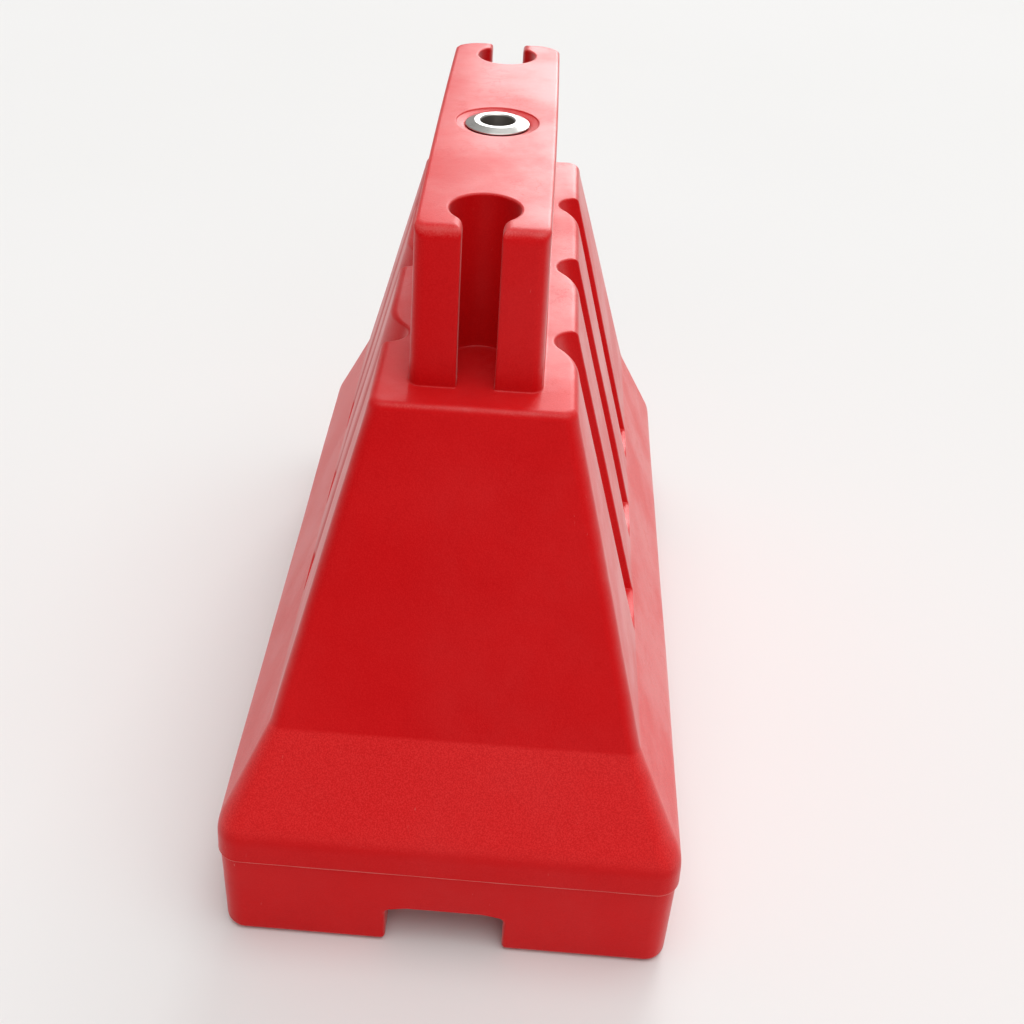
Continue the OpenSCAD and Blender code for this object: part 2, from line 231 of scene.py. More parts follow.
class Skin:
    """Gathers loops of points and the faces between them. A turned skin faces into the tank."""

    def __init__(self, turned=False):
        self.points, self.wear, self.faces, self.size, self.turned = [], [], [], 0, turned

    def ring(self, loop, z, wear=0.0):
        """Adds a loop at height z, one number or one for each point, and returns its points' numbers."""
        return self.cloud(np.column_stack([loop[:, :2], np.broadcast_to(z, len(loop))]), wear)

    def cloud(self, points, wear=0.0):
        """Adds points given as x, y, z and returns their numbers."""
        self.points.append(points)
        self.wear.append(np.broadcast_to(wear, len(points)).astype(float))
        self.size += len(points)
        return np.arange(self.size - len(points), self.size)

    def add(self, faces):
        """Adds rows of point numbers as faces."""
        self.faces.append(faces[:, ::-1] if self.turned else faces)

    def strip(self, low, high, keep=None):
        """Four-sided faces between two loops of the same count, or only those marked in keep."""
        quads = np.column_stack([low, np.roll(low, -1), np.roll(high, -1), high])
        self.add(quads if keep is None else quads[keep])

    def loft(self, loops):
        """Strips between each loop and the next."""
        for low, high in zip(loops, loops[1:]):
            self.strip(low, high)

    def wrap(self, grid):
        """Four-sided faces over a grid of point numbers that closes on itself both ways."""
        ahead = np.roll(grid, -1, 0)
        self.add(np.stack([grid, ahead, np.roll(ahead, -1, 1), np.roll(grid, -1, 1)], -1).reshape(-1, 4))

    def fill(self, *loops, axes=(0, 1), facing=1):
        """Triangles over the flat region inside the first loop and outside the others."""
        numbers = np.concatenate(loops)
        flat = np.vstack(self.points)[numbers][:, axes]
        ends = np.cumsum([len(loop) for loop in loops])
        edges = [(i, i + 1 if i + 1 < end else end - len(loop))
                 for loop, end in zip(loops, ends) for i in range(end - len(loop), end)]
        _, _, triangles, origins, _, _ = delaunay_2d_cdt([Vector(p) for p in flat], edges, [], 1, 1e-5)
        first = np.array([origin[0] for origin in origins])
        triangles = first[np.array(triangles)]
        middles = flat[triangles].mean(1)
        within = [enclosed(middles, flat[end - len(loop):end]) for loop, end in zip(loops, ends)]
        triangles = numbers[triangles[within[0] & ~np.any(within[1:], axis=0)]]
        self.add(triangles if facing > 0 else triangles[:, ::-1])

    def join(self, other):
        """Takes in another skin's points and faces; returns how far its point numbers moved."""
        moved = self.size
        self.points += other.points
        self.wear += other.wear
        self.faces += [faces + moved for faces in other.faces]
        self.size += other.size
        return moved

    def mesh(self, name, crease=38):
        """One mesh in metres, smooth but for edges sharper than the crease angle.

        Its points carry the wear value, which on the rail's foot fillet is a painted highlight line, and
        turned_off:
        sqrt(1 - nx^2), how far they face away from the long axis.
        """
        made = bpy.data.meshes.new(name)
        made.from_pydata((np.vstack(self.points) * MM).tolist(), [],
                         [face for block in self.faces for face in block.tolist()])
        made.attributes.new("wear", "FLOAT", "POINT").data.foreach_set(
            "value", np.concatenate(self.wear).astype(np.float32))
        made.validate()
        normals = np.empty(3 * len(made.vertices), np.float32)
        made.vertex_normals.foreach_get("vector", normals)
        made.attributes.new("turned_off", "FLOAT", "POINT").data.foreach_set(
            "value", np.sqrt(np.maximum(0, 1 - normals[::3] ** 2)))
        made.shade_smooth()
        made.set_sharp_from_angle(angle=math.radians(crease))
        return made


def piece(name, mesh, body, slot, material, *nodes):
    """An object at the origin that wears the material, rides on the body and stands for the CAD nodes."""
    made = bpy.data.objects.new(name, mesh)
    bpy.context.scene.collection.objects.link(made)
    mesh.materials.append(material)
    evened = made.modifiers.new("evened normals", "WEIGHTED_NORMAL")
    evened.keep_sharp = True
    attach(made, body)
    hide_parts(*nodes)
    return made


# ---- upper shell ----


def body_stations():
    """Stations from the seam up to just under the ledge, each with how far the grooves are opened there.

    Two short quadratic bends, at the skirt's top and at the body's foot, join three straight slopes.
    """
    under, over = level(SKIRT, SHOULDER, 143)[0], level(SHOULDER, BODY_FOOT, 173)[0]
    low, high = BODY_FOOT[0] - 5, BODY_FOOT[0] + 5
    below, above = level(SHOULDER, BODY_FOOT, low)[0], level(BODY_FOOT, LEDGE, high)[0]
    turn = np.array([271, 272.7, 274.2, 275.2, 276, 276.7, 277.4, 278.1, 278.8, 279.5, 280.2, 281.0])
    stations = np.vstack([
        level(SKIRT, SHOULDER, [121.5, 124, 133]),
        bend(under, SHOULDER, over, np.linspace(0, 1, 9)),
        level(SHOULDER, BODY_FOOT, np.linspace(182, 266, 9)),
        bend(below, BODY_FOOT, above, (turn - low) / (high - low)),
        level(BODY_FOOT, LEDGE, np.linspace(290, LEDGE[0] - LEDGE_ROLL, 26))])
    return stations, smooth((stations[:, 0] - BODY_FOOT[0]) / 3.5)


def worn(z, low, high):
    """Wear for a row at height z: 1 in the middle between low and high, 0 outside."""
    return float(np.clip(1 - abs(2 * z - low - high) / (high - low), 0, 1))


def body_walls(skin):
    """The seam's lower lip, the skirt, the shoulder and the body; returns the lowest and highest loops."""
    lip = ((1.4, SKIRT[0]), (0.4, SKIRT[0] + 0.4))
    rows = [skin.ring(body_outline(SKIRT, inset, opened=0), z, 0.3) for inset, z in lip]
    for station, opened in zip(*body_stations()):
        z = station[0]
        outline = relaxed(body_outline(station, opened=opened), z, 0.7)
        rows.append(skin.ring(outline, z, 0.6 * worn(z, 146, 170)))
    skin.loft(rows)
    return rows[0], rows[-1]


def ledge_edge(skin, top):
    """Rolls the body's top loop over on to the ledge as a quadratic curve; returns the ledge's outer loop.

    The roll starts 8 mm below the ledge, but 3 mm below it inside a groove.
    """
    outline = body_outline(LEDGE)
    below = body_outline(level(BODY_FOOT, LEDGE, LEDGE[0] - LEDGE_ROLL)[0])
    drop = 8 - 5 * outline[:, 2]
    start = outline + (below - outline) * (drop / LEDGE_ROLL)[:, None]
    inner = body_outline(LEDGE, 8.0, back=27.0, lip=64.0, edge=1.5)
    rows = [top]
    for t in np.linspace(0, 1, 8):
        height = LEDGE[0] - drop * (1 - t) ** 2
        rows.append(skin.ring(bend(start, outline, inner, [t]), height, 0.9 * math.sin(math.pi * t)))
    rows.append(skin.ring(body_outline(LEDGE, 13.0, back=27.8, lip=60.0, edge=1.0), LEDGE[0]))
    skin.loft(rows)
    return rows[-1]


def rail_walls(skin, ledge):
    """Fills the ledge up to the rail and lofts the rail; returns the loop inside its rounded top edge.

    The foot is a small quadratic fillet, painted with a thin pale highlight line. The top edge is a quadratic
    roll from the wall to the brow, as deep at each point as the crown's rounding there.
    """
    flare = 2.2
    root, top, flared = rail_at(RAIL_FOOT), rail_at(RAIL_TOP), rail_at(RAIL_FOOT, flare)
    crown = far_eased(top, RAIL_TOP[1], RAIL_TOP[2], 30)
    a, b = RAIL_TOP[1] - RIM_END, RAIL_TOP[2] - RIM_SIDE
    brow = rail_outline(a, b, 9.0, SLOT["neck"] + RIM_NECK, SLOT["round_r"] + RIM_ROUND, 8.0, 1.2)
    brow = far_eased(brow, a, b, 22)
    inner = far_eased(rail_outline(a - 6, b - 6, 6.0, 32.0, 42.5, 5.0, 1.0), a - 6, b - 6, 16)

    def wall(z):
        share = (np.broadcast_to(z, len(root)) - RAIL_FOOT[0]) / (RAIL_TOP[0] - RAIL_FOOT[0])
        return root + (top - root) * share[:, None]

    rows = [skin.ring(rail_at(RAIL_FOOT, 3.0), LEDGE[0])]
    skin.fill(ledge, rows[0])
    foot = RAIL_FOOT[0] + flare
    # The foot fillet's middle rows get up to 0.75 of the wear value: a painted highlight, a thin pale line
    # along the crease where the rail meets the ledge.
    for t in np.linspace(0, 1, 5):
        height = RAIL_FOOT[0] + flare * t ** 2
        rows.append(skin.ring(bend(flared, root, wall(foot), [t]), height, 0.75 * math.sin(math.pi * t)))
    rise = RAIL_TOP[0] - crown[:, 2]
    for share in (0.02, 0.06, 0.2, 0.35, 0.5, 0.65, 0.8, 0.92, 0.97):
        z = foot + (rise - foot) * share
        rows.append(skin.ring(relaxed(wall(z), z, 0.5), z))
    for t in np.linspace(0, 1, 9):
        height = RAIL_TOP[0] - crown[:, 2] * (1 - t) ** 2
        rows.append(skin.ring(bend(wall(rise), crown, brow, [t]), height, math.sin(math.pi * t)))
    rows.append(skin.ring(inner, RAIL_TOP[0]))
    skin.loft(rows)
    return rows[-1]


def filler_dish(skin, top):
    """Fills the rail's top in to the filler's dish and steps down it; returns the loop of the filler's hole.

    Each step is a radius, a height and the wear there.
    """
    rail, floor = RAIL_TOP[0], FILLER["floor"]
    steps = [(50.5, rail, 0), (47.3, rail, 0.4), (46.8, rail - 0.2, 0.5), (46.4, rail - 0.6, 0.5),
             (46.1, rail - 1, 0.2), (45.5, rail - 1.3, 0), (44.6, rail - 1.6, 0), (41, rail - 2.4, 0),
             (38.4, rail - 3.1, 0), (37, floor + 1.2, 0), (36.6, floor + 0.4, 0), (36.2, floor, 0),
             (30, floor, 0), (FILLER["hole"], floor, 0)]
    rings = [skin.ring(ring_at(radius), z, wear) for radius, z, wear in steps]
    skin.fill(top, rings[0])
    skin.loft(rings)
    return rings[-1]


def upper_outside(skin):
    """The outer skin from the seam to the filler's hole; returns its lowest loop and the hole's loop."""
    seam, top = body_walls(skin)
    return seam, filler_dish(skin, rail_walls(skin, ledge_edge(skin, top)))


def upper_inside(skin):
    """The inner skin, a wall's thickness in; returns its lowest loop and the filler hole's loop."""
    def tank(station, opened):
        outline = body_outline(station, WALL, back=24.0 + WALL, lip=65.0, edge=1.0, opened=opened)
        return skin.ring(outline, station[0])

    rows = [skin.ring(body_outline(SKIRT, RIM, opened=0), z) for z in (SKIRT[0], 128.8)]
    rows += [tank(station, 0) for station in level(SKIRT, SHOULDER, [131, 150, 158])]
    rows += [tank(station, 0) for station in level(SHOULDER, BODY_FOOT, [185, 215, 245, 270])]
    rows += [tank(level(SHOULDER, BODY_FOOT, z)[0], opened) for z, opened in ((271, 0.5), (272, 1), (276, 1))]
    roof = LEDGE[0] - WALL
    rows += [tank(station, 1) for station in level(BODY_FOOT, LEDGE, np.linspace(300, roof, 12))]
    skin.loft(rows)
    stations = level(RAIL_FOOT, RAIL_TOP, np.linspace(roof, RAIL_TOP[0] - WALL, 7))
    hollow = [skin.ring(rail_at(station, -WALL), station[0]) for station in stations]
    skin.fill(rows[-1], hollow[0])
    skin.loft(hollow)
    wide, floor = FILLER["recess"] + WALL, FILLER["floor"]
    steps = ((wide, floor), (wide, floor - WALL), (FILLER["hole"], floor - WALL))
    well = [skin.ring(ring_at(radius), z) for radius, z in steps]
    skin.fill(hollow[-1], well[0])
    skin.loft(well)
    return rows[0], well[-1]


def upper_shell(material):
    """Outer and inner skins joined by the rim at the seam and by the wall of the filler's hole."""
    skin, lining = Skin(), Skin(turned=True)
    rim_out, hole_out = upper_outside(skin)
    rim_in, hole_in = upper_inside(lining)
    moved = skin.join(lining)
    skin.strip(rim_in + moved, rim_out)
    skin.strip(hole_out, hole_in + moved)
    mesh = skin.mesh("upper_shell_skin")
    return piece("upper_shell_skin", mesh, "barrier", "red_plastic", material, "upper_shell")


# ---- base shell ----

SIDE_STEPS, CORNER_STEPS, END_STEPS, MOUTH_STEPS, RUN_STEPS, CEILING_STEPS = (30, 10, 5), 9, 12, 5, 40, 14
POCKET_FROM, POCKET_TO = SIDE_STEPS[0], SIDE_STEPS[0] + SIDE_STEPS[1]
POCKET_HALF = 50.0
POCKET_LOW, POCKET_HIGH = 12.0, 108.0


def foot_outline(a, b, r, channel, mouth):
    """Plan of the foot on the -Y side: outer side, corner, end, mouth, channel wall, and back to the start.

    The outer side's points are even on each of three stretches, which meet at both sides of the pocket.
    """
    stops = (r - a, DRAIN["x"] - POCKET_HALF, DRAIN["x"] + POCKET_HALF, a - r)
    side = [line((start, -b), (stop, -b), steps) for start, stop, steps in zip(stops, stops[1:], SIDE_STEPS)]
    return np.vstack([
        *side, arc((a - r, r - b), r, -90, 0, CORNER_STEPS),
        line((a, r - b), (a, -channel - mouth), END_STEPS),
        arc((a - mouth, -channel - mouth), mouth, 0, 90, MOUTH_STEPS),
        line((a - mouth, -channel), (mouth - a, -channel), RUN_STEPS),
        arc((mouth - a, -channel - mouth), mouth, 90, 180, MOUTH_STEPS),
        line((-a, -channel - mouth), (-a, r - b), END_STEPS),
        arc((r - a, r - b), r, 180, 270, CORNER_STEPS)])


def foot_spans():
    """Which points of a foot's outline each of its eight stretches holds."""
    counts = (sum(SIDE_STEPS), CORNER_STEPS, END_STEPS, MOUTH_STEPS,
              RUN_STEPS, MOUTH_STEPS, END_STEPS, CORNER_STEPS)
    stops = np.cumsum(counts)
    return [np.arange(stop - count, stop) for count, stop in zip(counts, stops)]


def foot_sections(inset):
    """For each loop of a foot: its height, how far it is drawn in by the rolled lower edge, and the channel's
    half width there. Both the edge and the channel's upper corner are quarter circles."""
    roll = 9.0 if inset == 0 else 5.0
    ceiling, corner = CHANNEL["high"] + inset, CHANNEL["corner"] + inset
    quarter = np.radians(np.linspace(0, 90, 7))
    plain = np.array([16, 28, 38.0])
    heights = np.concatenate([inset + roll * (1 - np.cos(quarter)), plain,
                              ceiling - corner + corner * np.sin(quarter)])
    draws = np.concatenate([roll * (1 - np.sin(quarter)), np.zeros(len(plain) + len(quarter))])
    widths = CHANNEL["half"] + inset + draws
    widths[-len(quarter):] -= corner * (1 - np.cos(quarter))
    return zip(heights, draws, widths)


def across(skin, starts, ends, lift):
    """Rows of points from each start to its end, raised by lift away from both sides."""
    t = np.linspace(0, 1, CEILING_STEPS + 1)[1:-1]
    points = np.vstack(skin.points)
    p, q = points[starts], points[ends]
    grid = p[:, None] + (q - p)[:, None] * t[None, :, None]
    near = np.minimum(t, 1 - t)[None, :] * np.linalg.norm(q - p, axis=1)[:, None]
    grid[..., 2] += lift[:, None] * smooth(near / 16)
    inner = skin.cloud(grid.reshape(-1, 3)).reshape(len(starts), -1)
    return np.column_stack([starts, inner, ends])


def drain_pocket(skin, inset, rim):
    """Fills the side from the rim to the pocket, then steps inwards by circles; returns the hole's loop.

    Each circle is a radius, a depth from the side and the wear there. The first 3 mm of depth blend from the
    sloping side to an upright plane.
    """
    wide, deep, hole = DRAIN["pocket"], DRAIN["depth"], DRAIN["hole"]
    if inset == 0:
        cup = [(wide + 2.6, 0, 0.2), (wide + 1.4, 0.3, 0.8), (wide + 0.5, 1.1, 0.9), (wide, 2.4, 0.3),
               (wide, 6, 0), (wide, deep - 2.5, 0), (wide - 0.6, deep - 0.8, 0), (wide - 2, deep, 0),
               (wide - 5, deep, 0), (hole, deep, 0)]
    else:
        wide, deep = wide + WALL, deep + WALL
        cup = [(wide, 0, 0), (wide, 15, 0), (wide, deep, 0), (hole, deep, 0)]
    a = np.radians(np.linspace(0, 360, 72, endpoint=False))
    rings = []
    for radius, depth, wear in cup:
        x, z = DRAIN["x"] + radius * np.cos(a), DRAIN["z"] + radius * np.sin(a)
        face = level(BASE_FOOT, BASE_TOP, z)[:, 2] - inset
        sunk = min(depth / 3, 1)
        y = -face * (1 - sunk) + (depth - BASE_TOP[2]) * sunk
        rings.append(skin.cloud(np.column_stack([x, y, z]), wear))
    skin.fill(rim, rings[0], axes=(0, 2))
    skin.loft(rings)
    return rings[-1]


def base_skin(skin, inset):
    """Two feet either side of the channel, its ceiling, and the band above them up to the seam.

    Both feet rise as loops of the same plan, the second turned half round. The ceiling joins their
    channel walls and rolls up into each mouth's upper edge. The faces where the pocket goes are left out.
    Returns the top loop and the drain hole's loop.
    """
    mouth = 5.0 if inset == 0 else 1.0
    left, right, heights = [], [], []
    for z, draw, channel in foot_sections(inset):
        a, b, r = level(BASE_FOOT, BASE_TOP, z)[0][1:] - inset - draw
        plan = foot_outline(a, b, max(r, 2.0), channel, max(mouth - draw, 0.8))
        wear = 0.8 * worn(z, 0, 12) if inset == 0 else 0
        left.append(skin.ring(plan, z, wear))
        right.append(skin.ring(plan * (-1, -1, 1), z, wear))
        heights.append(z)
    first = next(i for i, z in enumerate(heights) if z >= POCKET_LOW)
    keep = np.ones(len(left[0]), bool)
    keep[POCKET_FROM:POCKET_TO] = False
    for i in range(len(left) - 1):
        skin.strip(left[i], left[i + 1], keep if i >= first else None)
        skin.strip(right[i], right[i + 1])
    skin.fill(left[0], facing=-1)
    skin.fill(right[0], facing=-1)

    side, corner_1, end_1, mouth_1, run, mouth_2, end_2, corner_2 = foot_spans()
    top_l, top_r = left[-1], right[-1]
    walls = np.concatenate([mouth_1, run, mouth_2, end_2[:1]])
    turn = np.concatenate([np.linspace(1, 0, MOUTH_STEPS, endpoint=False), np.zeros(RUN_STEPS),
                           np.linspace(0, 1, MOUTH_STEPS + 1)])
    vault = across(skin, top_l[walls], top_r[walls[::-1]], mouth * (1 - np.cos(turn * math.pi / 2)))
    skin.add(np.stack([vault[:-1, :-1], vault[1:, :-1], vault[1:, 1:], vault[:-1, 1:]], -1).reshape(-1, 4))

    band = [np.concatenate([top_l[side], top_l[corner_1], top_l[end_1], vault[0, :-1], top_r[end_2],
                            top_r[corner_2], top_r[side], top_r[corner_1], top_r[end_1], vault[-1, :0:-1],
                            top_l[end_2], top_l[corner_2]])]
    keep = np.ones(len(band[0]), bool)
    keep[POCKET_FROM:POCKET_TO] = False
    shape = np.vstack(skin.points)[band[0]]
    low = level(BASE_FOOT, BASE_TOP, CHANNEL["high"] + inset)[0]
    band_heights = (68, 76, 86, 97, POCKET_HIGH, 114, BASE_TOP[0])
    for z in band_heights:
        grow = (level(BASE_FOOT, BASE_TOP, z)[0] - low)[1:3]
        band.append(skin.ring(shape[:, :2] * (1 + grow / (low[1:3] - inset)), z))
    for i, z in enumerate(band_heights):
        skin.strip(band[i], band[i + 1], keep if z <= POCKET_HIGH else None)

    rows = left[first:] + band[1:band_heights.index(POCKET_HIGH) + 2]
    rim = np.concatenate([
        rows[0][POCKET_FROM:POCKET_TO], [row[POCKET_TO] for row in rows],
        rows[-1][POCKET_FROM + 1:POCKET_TO][::-1], [row[POCKET_FROM] for row in rows[:0:-1]]])
    return band[-1], drain_pocket(skin, inset, rim)


def base_shell(material):
    """Outer and inner skins joined by the rim at the seam and by the wall of the drain's hole."""
    skin, lining = Skin(), Skin(turned=True)
    rim_out, hole_out = base_skin(skin, 0.0)
    rim_in, hole_in = base_skin(lining, WALL)
    moved = skin.join(lining)
    skin.strip(rim_out, rim_in + moved)
    skin.strip(hole_out, hole_in + moved)
    mesh = skin.mesh("base_shell_skin")
    return piece("base_shell_skin", mesh, "barrier", "red_plastic", material, "base_shell")


# ---- seam bead ----


def seam_bead(material):
    """A thin bead of melted plastic under the overhang: a circle carried round the base's plan.

    Its radius wanders along the seam on the sum of three sine waves.
    """
    r, proud = BASE_TOP[3], 0.6
    a, b = BASE_TOP[1] + proud, BASE_TOP[2] + proud
    path = both_halves(line((r - a, -b), (a - r, -b), 200), arc((a - r, r - b), r, -90, 0, 14),
                       line((a, r - b), (a, b - r), 90), arc((a - r, b - r), r, 0, 90, 14))[:, :2]
    ahead = np.roll(path, -1, 0) - np.roll(path, 1, 0)
    outwards = np.column_stack([ahead[:, 1], -ahead[:, 0]]) / np.linalg.norm(ahead, axis=1)[:, None]
    along = np.cumsum(np.linalg.norm(np.roll(path, -1, 0) - path, axis=1))
    wander = 0.5 * np.sin(along / 31) + 0.3 * np.sin(along / 11 + 1.3) + 0.2 * np.sin(along / 4.3)
    radius = (1.2 + 0.25 * wander)[:, None]
    turn = np.linspace(0, 2 * np.pi, 10, endpoint=False)
    flat = path[:, None] + outwards[:, None] * (radius * np.cos(turn))[..., None]
    points = np.concatenate([flat, (118.9 + radius * np.sin(turn))[..., None]], -1)
    skin = Skin()
    skin.wrap(skin.cloud(points.reshape(-1, 3)).reshape(len(path), -1))
    return piece("seam_bead", skin.mesh("seam_bead"), "barrier", "weld_bead", material, "seam_weld_bead")


# ---- turned pieces ----


def placed(points, place):
    """The points moved by a 4 x 4 matrix."""
    return points @ np.array(place.to_3x3()).T + np.array(place.translation)


def turned(skin, profile, count=96, place=None):
    """A closed profile of (radius, height) carried round the upright axis, then placed by a matrix."""
    a = np.linspace(0, 2 * np.pi, count, endpoint=False)
    radius, height = profile[:, :1], np.repeat(profile[:, 1:], count, 1)
    points = np.stack([radius * np.cos(a), radius * np.sin(a), height], -1).reshape(-1, 3)
    rings = skin.cloud(points if place is None else placed(points, place))
    skin.wrap(rings.reshape(len(profile), count).T)


def rounded(profile, radii, steps=4):
    """A closed profile with each corner replaced by a quadratic curve that starts its radius away."""
    profile, radii = np.array(profile, float), np.array(radii, float)
    before, after = np.roll(profile, 1, 0) - profile, np.roll(profile, -1, 0) - profile
    reach_b = np.minimum(radii / np.linalg.norm(before, axis=1), 0.49)
    reach_a = np.minimum(radii / np.linalg.norm(after, axis=1), 0.49)
    start, end = profile + before * reach_b[:, None], profile + after * reach_a[:, None]
    t = np.linspace(0, 1, steps + 1)[None, :, None]
    curve = (1 - t) ** 2 * start[:, None] + 2 * t * (1 - t) * profile[:, None] + t ** 2 * end[:, None]
    return curve.reshape(-1, 2)


def filler_collar(material):
    """Steel collar: a turned profile with a flat top, a long outer bevel and softened edges."""
    bore, barrel, flange, foot, top = (FILLER[name] for name in ("bore", "barrel", "flange", "foot", "top"))
    seat = FILLER["floor"] + 2
    profile = rounded(
        [(bore, foot), (barrel, foot), (barrel, seat), (flange, seat), (flange, seat + 1.3), (26.3, top),
         (bore + 1.4, top), (bore, top - 1.6)],
        [0.6, 0.6, 0.2, 0.4, 0.7, 0.8, 0.6, 0.6])
    skin = Skin()
    turned(skin, profile, 144)
    mesh = skin.mesh("filler_collar_ring", 50)
    return piece("filler_collar_ring", mesh, "barrier", "satin_steel", material, "filler_collar")


def drain_place():
    """Turns a piece drawn along +Z to point out of the -Y side, with its 0 at the base shell's side face."""
    return Matrix.Translation((DRAIN["x"], -BASE_TOP[2], DRAIN["z"])) @ Matrix.Rotation(math.pi / 2, 4, "X")


def drain_bush(material):
    """Bulkhead bush: a turned flange and barrel, with a shallow ring sunk in the flange's face."""
    bore, barrel, flange = DRAIN["bore"], DRAIN["barrel"], DRAIN["bush"]
    foot, seat, face = -44.5, -19.5, -13.5
    profile = rounded(
        [(bore, foot), (barrel, foot), (barrel, seat), (flange, seat), (flange, face), (24.6, face),
         (24.2, face - 0.4), (23.4, face - 0.4), (23, face), (bore + 0.6, face), (bore, face - 0.6)],
        [0.6, 0.6, 0.3, 0.4, 1.1, 0.15, 0.15, 0.15, 0.15, 0.2, 0.2])
    skin = Skin()
    turned(skin, profile, 96, drain_place())
    mesh = skin.mesh("drain_bush_ring", 50)
    return piece("drain_bush_ring", mesh, "barrier", "dark_plastic", material, "drain_bush")


def hexagon_radius(angle, across_corner, soft):
    """Distance from the axis to a hexagon's side at each angle, eased at its corners by the soft share."""
    local = np.mod(angle, np.pi / 3) - np.pi / 6
    side = across_corner * math.cos(math.pi / 6) / np.cos(local)
    return np.minimum(side, across_corner * (1 - soft))


def drain_plug(material):
    """Screw plug: one grid of points round the axis, in rows along it.

    The head's rows follow a hexagon and the flange's a circle. The shank's radius is the root's plus a ridge
    that follows a spiral: smooth(1 - 3.2 * distance from the ridge's middle, in turns), faded at both ends.
    """
    count, pitch, root, crest = 144, 6.0, 13.6, 14.85
    a = np.linspace(0, 2 * np.pi, count, endpoint=False)
    hexagon = hexagon_radius(a, 14.5, 0.02)
    heights = np.linspace(-11.2, -33.4, 112)
    turns = np.mod(heights[:, None] / pitch - a[None] / (2 * np.pi), 1.0)
    fade = smooth((-heights - 11.4) / 3) * smooth((heights + 33.6) / 3)
    shank = root + (crest - root) * smooth(1 - np.abs(turns - 0.5) * 3.2) * fade[:, None]

    head = ((0.4, -1.9), (7.6, -1.9), (8.2, -1.6), (8.6, -0.9))
    sides = ((0.86, -0.86), (0.93, -0.95), (0.98, -1.3), (1.0, -2.0), (1.0, -6.3), (1.02, -6.8))
    flange = ((16.6, -7.1), (22.4, -7.15), (23.2, -7.5), (23.5, -8.2), (23.5, -10.2), (23.1, -10.8),
              (22.4, -10.9), (13.9, -10.9))
    tip = ((13.2, -34.3), (12.4, -34.9), (0.45, -34.9))
    rows = [*head, *((hexagon * share, z) for share, z in sides), *flange, *zip(shank, heights), *tip]
    radius = np.array([np.broadcast_to(r, count) for r, _ in rows])
    height = np.repeat(np.array([[z] for _, z in rows]), count, 1)
    points = np.stack([radius * np.cos(a), radius * np.sin(a), height], -1).reshape(-1, 3)

    skin = Skin()
    grid = skin.cloud(placed(points, drain_place())).reshape(len(rows), count)
    skin.loft(grid[::-1])
    skin.add(grid[0][None])
    skin.add(grid[-1][::-1][None])
    mesh = skin.mesh("drain_plug_screw", 42)
    return piece("drain_plug_screw", mesh, "plug", "plug_plastic", material, "drain_plug")


# ---- finishes ----


class Wire:
    """A shader socket that does arithmetic: each operation on values adds its Math node."""

    def __init__(self, finish, socket):
        self.finish, self.socket = finish, socket

    def __add__(self, other):
        return self.finish.math("ADD", self, other)

    def __sub__(self, other):
        return self.finish.math("SUBTRACT", self, other)

    def __rsub__(self, other):
        return self.finish.math("SUBTRACT", other, self)

    def __mul__(self, other):
        return self.finish.math("MULTIPLY", self, other)

    __radd__, __rmul__ = __add__, __mul__


class Finish:
    """Builds one material's nodes."""

    def __init__(self, name):
        self.material = bpy.data.materials.new(name)
        self.material.use_nodes = True
        self.tree = self.material.node_tree
        self.tree.nodes.clear()
        self.where = self.node("ShaderNodeTexCoord", out="Object")

    def node(self, kind, settings=None, sockets=None, out=0):
        """Any node: its type, its settings, then its sockets' values or links. Returns the named output."""
        made = self.tree.nodes.new(kind)
        for key, value in (settings or {}).items():
            setattr(made, key, value)
        for key, value in (sockets or {}).items():
            if isinstance(value, Wire):
                self.tree.links.new(value.socket, made.inputs[key])
            else:
                made.inputs[key].default_value = value
        return Wire(self, made.outputs[out]) if made.outputs else None

    def parts(self, vector):
        """The x, y and z of a vector."""
        split = self.node("ShaderNodeSeparateXYZ", {}, {0: vector}).socket.node
        return [Wire(self, socket) for socket in split.outputs]

    def math(self, operation, *values):
        return self.node("ShaderNodeMath", {"operation": operation}, dict(enumerate(values)))

    def noise(self, scale, detail=2.0, roughness=0.5, where=None):
        """Even noise from 0 to 1; the scale is in waves per metre."""
        sockets = {"Vector": where or self.where, "Scale": scale, "Detail": detail, "Roughness": roughness}
        return self.node("ShaderNodeTexNoise", {}, sockets)

    def carried(self, name):
        """A number that the mesh carries at each point."""
        return self.node("ShaderNodeAttribute", {"attribute_name": name}, out="Fac")

    def stretched(self, scale, turn=(0, 0, 0)):
        """Object coordinates turned and stretched."""
        return self.node("ShaderNodeMapping", {}, {"Vector": self.where, "Scale": scale, "Rotation": turn})

    def step(self, value, low, high):
        """0 below low, 1 above high, smooth between."""
        return self.node("ShaderNodeMapRange", {"interpolation_type": "SMOOTHSTEP"},
                         {"Value": value, "From Min": low, "From Max": high})

    def blend(self, share, first, second):
        """Colour between first and second."""
        return self.node("ShaderNodeMix", {"data_type": "RGBA"}, {0: share, 6: first, 7: second}, out=2)

    def bump(self, height, distance, strength=1.0, under=None):
        sockets = {"Height": height, "Distance": distance, "Strength": strength}
        if under is not None:
            sockets["Normal"] = under
        return self.node("ShaderNodeBump", {}, sockets)

    def shade(self, sockets):
        """The shader and the output; returns the material."""
        surface = self.node("ShaderNodeBsdfPrincipled", {}, sockets)
        self.node("ShaderNodeOutputMaterial", {}, {"Surface": surface})
        return self.material


def paint(*rgb):
    return (*rgb, 1.0)


